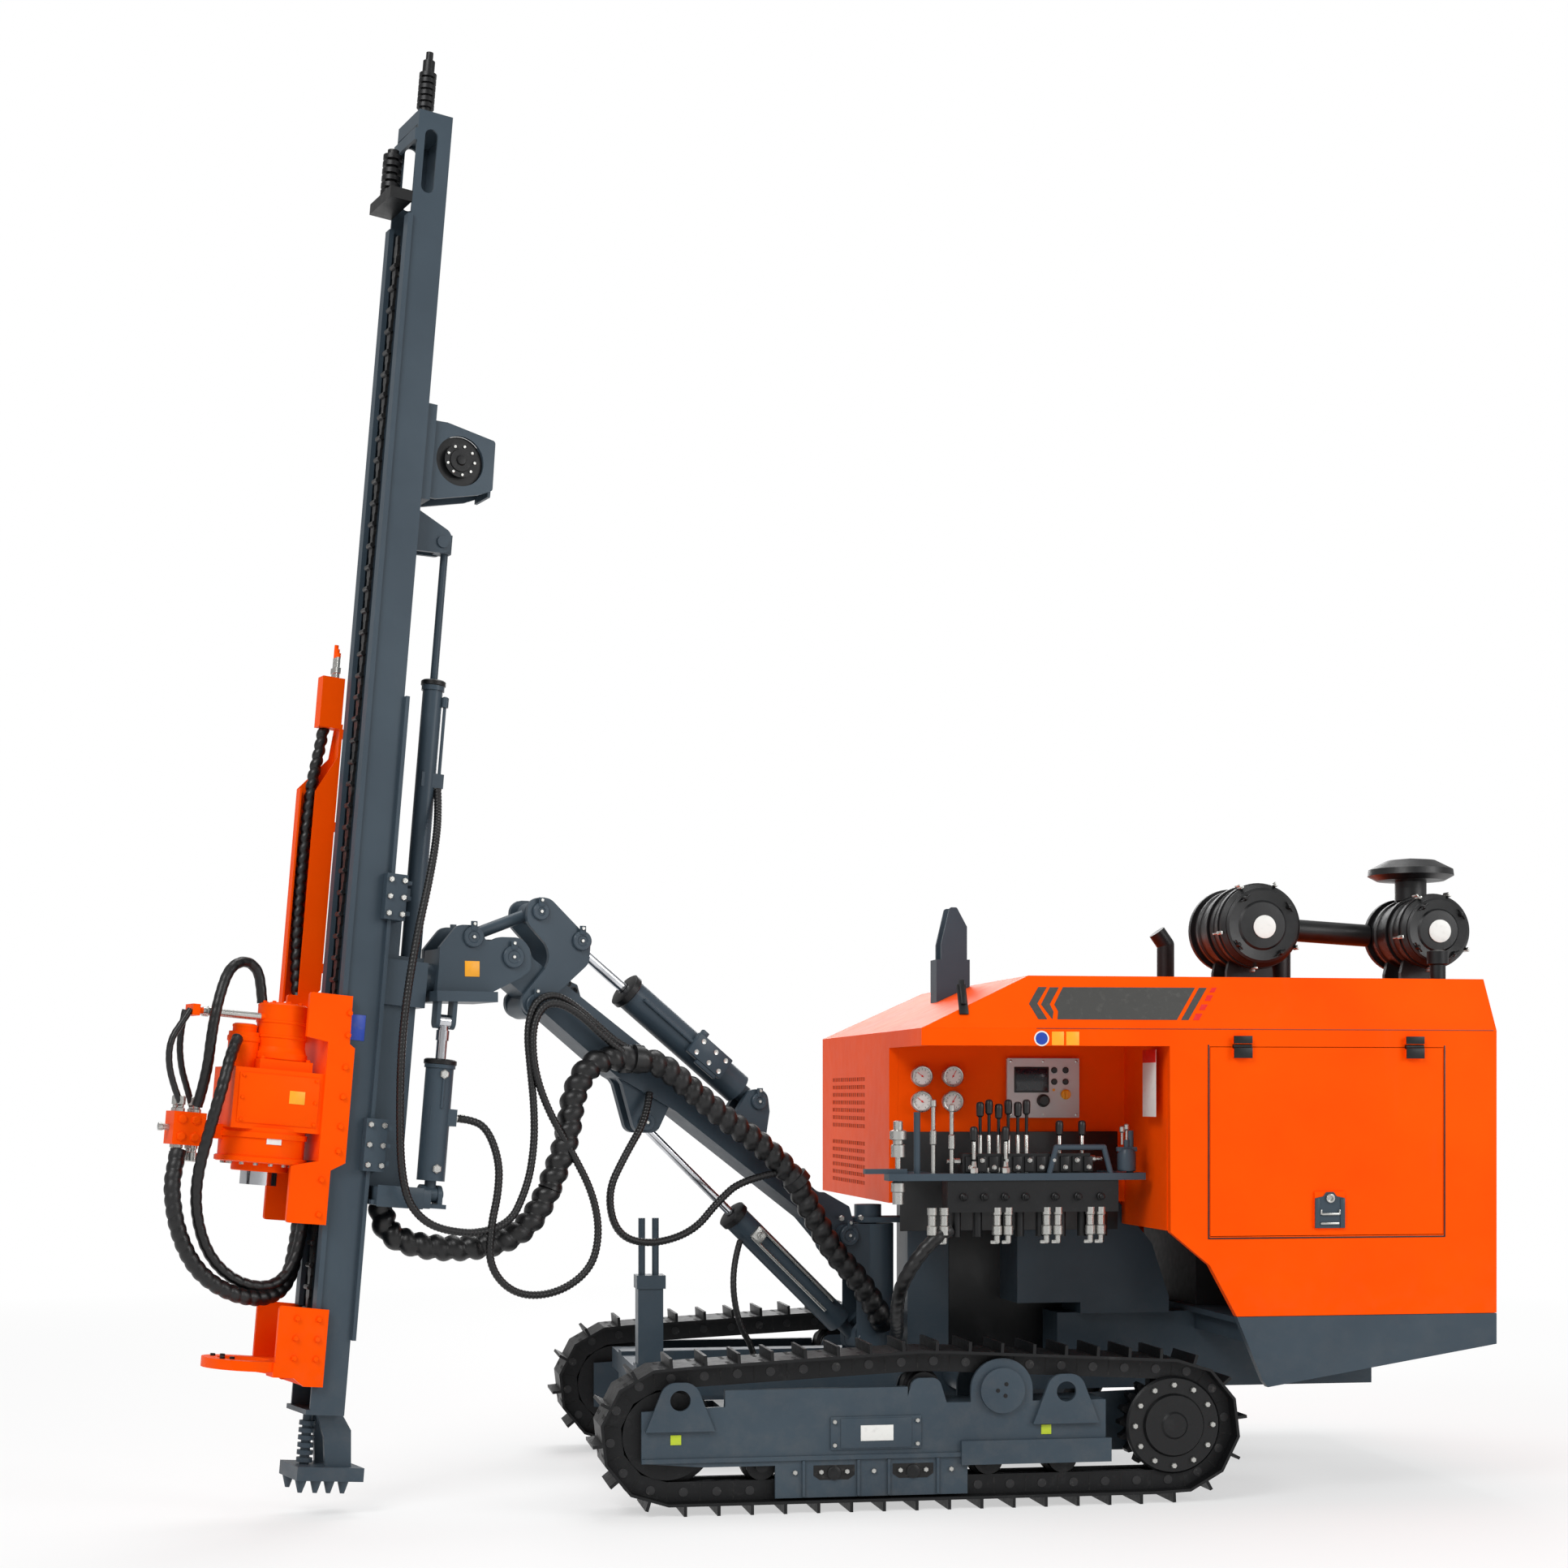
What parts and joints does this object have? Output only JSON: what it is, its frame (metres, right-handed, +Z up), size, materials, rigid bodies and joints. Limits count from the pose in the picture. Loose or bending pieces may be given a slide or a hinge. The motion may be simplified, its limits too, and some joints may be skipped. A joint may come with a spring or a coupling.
{
  "type": "down-the-hole drilling rig",
  "caption": "Tracked down-the-hole drilling rig with a housing for engine and compressor, an articulated boom and a tall feed mast with rotary head",
  "frame": {"origin": "on the ground, at the middle of the machine's bounding box", "axes": "+X to the rear of the machine, +Y to its far side, +Z up"},
  "size_m": [5.6451, 2.26, 6.0625],
  "materials": {
    "orange_paint": "gloss",
    "orange_sheet": "gloss",
    "grey_paint": "satin",
    "grey_sheet": "satin",
    "black_steel": "satin",
    "track_steel": "worn",
    "chrome_rod": "polished",
    "black_plastic": "matte",
    "engine_grey": "cast",
    "panel_white": "satin"
  },
  "bodies": {
    "chassis": {"track_left": "track_steel", "track_right": "track_steel", "running_gear_left": "track_steel", "running_gear_right": "track_steel", "track_frame_left": "grey_paint", "track_frame_right": "grey_paint", "main_frame": "grey_paint", "travel_post": "grey_paint", "swing_pedestal": "grey_paint", "roof_cover": "orange_sheet", "front_panel": "orange_sheet", "niche_walls": "orange_sheet", "side_panel_near": "orange_sheet", "side_panel_far": "orange_sheet", "rear_panel": "orange_sheet", "rear_skirt": "grey_sheet", "deck_plate": "grey_sheet", "engine_block": "engine_grey", "hydraulic_tank": "grey_sheet", "air_filter_front": "black_plastic", "air_filter_rear": "black_plastic", "intake_duct": "black_plastic", "roof_fittings": "black_steel", "roof_rest": "grey_paint", "console_bench": "grey_paint", "valve_bank": "black_steel", "control_panel": "panel_white"},
    "near_door": {"door_near": "orange_sheet"},
    "far_door": {"door_far": "orange_sheet"},
    "swing_base": {"swing_base": "grey_paint"},
    "boom_swing_barrel": {"boom_swing_barrel": "grey_paint"},
    "boom_swing_rod": {"boom_swing_rod": "chrome_rod"},
    "lift_barrel": {"lift_barrel": "grey_paint"},
    "lift_rod": {"lift_rod": "chrome_rod"},
    "boom": {"boom": "grey_paint"},
    "pitch_barrel": {"pitch_barrel": "grey_paint"},
    "pitch_rod": {"pitch_rod": "chrome_rod"},
    "rocker": {"rocker": "grey_paint"},
    "rocker_link": {"rocker_link": "grey_paint"},
    "knuckle": {"knuckle": "grey_paint"},
    "mast_support": {"mast_support": "grey_paint", "compensation_barrel": "grey_paint"},
    "mast_swing_barrel": {"mast_swing_barrel": "grey_paint"},
    "mast_swing_rod": {"mast_swing_rod": "chrome_rod"},
    "feed_beam": {"feed_beam": "grey_paint", "feed_drive": "grey_paint", "chain_tensioners": "black_steel", "feed_chain": "black_steel", "mast_foot": "grey_paint", "centraliser": "orange_paint", "hose_trough": "orange_sheet"},
    "carriage": {"carriage": "orange_paint", "rotary_head": "orange_paint"},
    "spindle": {"spindle": "chrome_rod"}
  },
  "joints": [
    {"name": "boom_swing", "type": "hinge", "parent": "chassis", "child": "swing_base", "pos_m": [0.27, 0, 0.7], "axis": [0, 0, 1], "range_deg": [-53, 17]},
    {"name": "boom_swing_barrel_turn", "type": "hinge", "parent": "chassis", "child": "boom_swing_barrel", "pos_m": [0.97, 0.23, 0.7], "axis": [0, 0, 1], "range_deg": [-3, 3]},
    {"name": "boom_swing_rod_slide", "type": "slide", "parent": "boom_swing_barrel", "child": "boom_swing_rod", "axis": [-0.9979, -0.0648, 0], "range_m": [-0.17, 0.06]},
    {"name": "boom_lift", "type": "hinge", "parent": "swing_base", "child": "boom", "pos_m": [0.11783, -0.04944, 1.082], "axis": [0.309, -0.9511, 0], "range_deg": [-18, 15]},
    {"name": "lift_barrel_turn", "type": "hinge", "parent": "swing_base", "child": "lift_barrel", "pos_m": [0.21389, -0.01823, 0.605], "axis": [0.309, -0.9511, 0], "range_deg": [-14, 15]},
    {"name": "lift_rod_slide", "type": "slide", "parent": "lift_barrel", "child": "lift_rod", "axis": [-0.7011, -0.2278, 0.6757], "range_m": [-0.105, 0.095]},
    {"name": "mast_pitch", "type": "hinge", "parent": "boom", "child": "knuckle", "pos_m": [-1.41813, -0.54851, 2.291], "axis": [-0.309, 0.9511, 0], "range_deg": [-30, 80]},
    {"name": "rocker_turn", "type": "hinge", "parent": "boom", "child": "rocker", "pos_m": [-1.31922, -0.51637, 2.092], "axis": [-0.309, 0.9511, 0], "range_deg": [-14, 36]},
    {"name": "rocker_link_turn", "type": "hinge", "parent": "rocker", "child": "rocker_link", "pos_m": [-1.30019, -0.51019, 2.486], "axis": [-0.309, 0.9511, 0], "range_deg": [-2, 3]},
    {"name": "pitch_barrel_turn", "type": "hinge", "parent": "boom", "child": "pitch_barrel", "pos_m": [-0.29588, -0.18387, 1.684], "axis": [-0.309, 0.9511, 0], "range_deg": [-4, 2]},
    {"name": "pitch_rod_slide", "type": "slide", "parent": "pitch_barrel", "child": "pitch_rod", "axis": [-0.7474, -0.2428, 0.6184], "range_m": [-0.21, 0.08]},
    {"name": "mast_swing", "type": "hinge", "parent": "knuckle", "child": "mast_support", "pos_m": [-1.74624, -0.65512, 2.19], "axis": [0.9474, 0.3078, -0.0872], "range_deg": [-20, 40]},
    {"name": "mast_swing_barrel_turn", "type": "hinge", "parent": "mast_support", "child": "mast_swing_barrel", "pos_m": [-1.73679, -0.78874, 1.30445], "axis": [0.9474, 0.3078, -0.0872], "range_deg": [-5, 8]},
    {"name": "mast_swing_rod_slide", "type": "slide", "parent": "mast_swing_barrel", "child": "mast_swing_rod", "axis": [0.0829, 0.0269, 0.9962], "range_m": [-0.06, 0.11]},
    {"name": "mast_slide", "type": "slide", "parent": "mast_support", "child": "feed_beam", "axis": [-0.0829, -0.0269, -0.9962], "range_m": [-0.5, 0.5]},
    {"name": "head_feed", "type": "slide", "parent": "feed_beam", "child": "carriage", "axis": [0.0829, 0.0269, 0.9962], "range_m": [-0.25, 2.8]},
    {"name": "spindle_turn", "type": "hinge", "parent": "carriage", "child": "spindle", "pos_m": [-2.42554, -0.87584, 1.36913], "axis": [0.0829, 0.0269, 0.9962], "continuous": true},
    {"name": "near_door_hinge", "type": "hinge", "parent": "chassis", "child": "near_door", "pos_m": [2.0375, -1.112, 1.918], "axis": [-1, 0, 0], "range_deg": [0, 80]},
    {"name": "far_door_hinge", "type": "hinge", "parent": "chassis", "child": "far_door", "pos_m": [2.0375, 1.112, 1.918], "axis": [1, 0, 0], "range_deg": [0, 80]}
  ],
  "couplings": [
    {"joint": "boom_swing_barrel_turn", "follows": "boom_swing", "ratio": -0.03},
    {"joint": "boom_swing_rod_slide", "follows": "boom_swing", "m_per_rad": 0.1775},
    {"joint": "lift_barrel_turn", "follows": "boom_lift", "ratio": 0.735},
    {"joint": "lift_rod_slide", "follows": "boom_lift", "m_per_rad": -0.29},
    {"joint": "rocker_turn", "follows": "mast_pitch", "ratio": 0.43},
    {"joint": "rocker_link_turn", "follows": "mast_pitch", "ratio": 0.02},
    {"joint": "pitch_barrel_turn", "follows": "mast_pitch", "ratio": -0.03},
    {"joint": "pitch_rod_slide", "follows": "mast_pitch", "m_per_rad": -0.14},
    {"joint": "mast_swing_barrel_turn", "follows": "mast_swing", "ratio": 0.17},
    {"joint": "mast_swing_rod_slide", "follows": "mast_swing", "m_per_rad": 0.15}
  ]
}
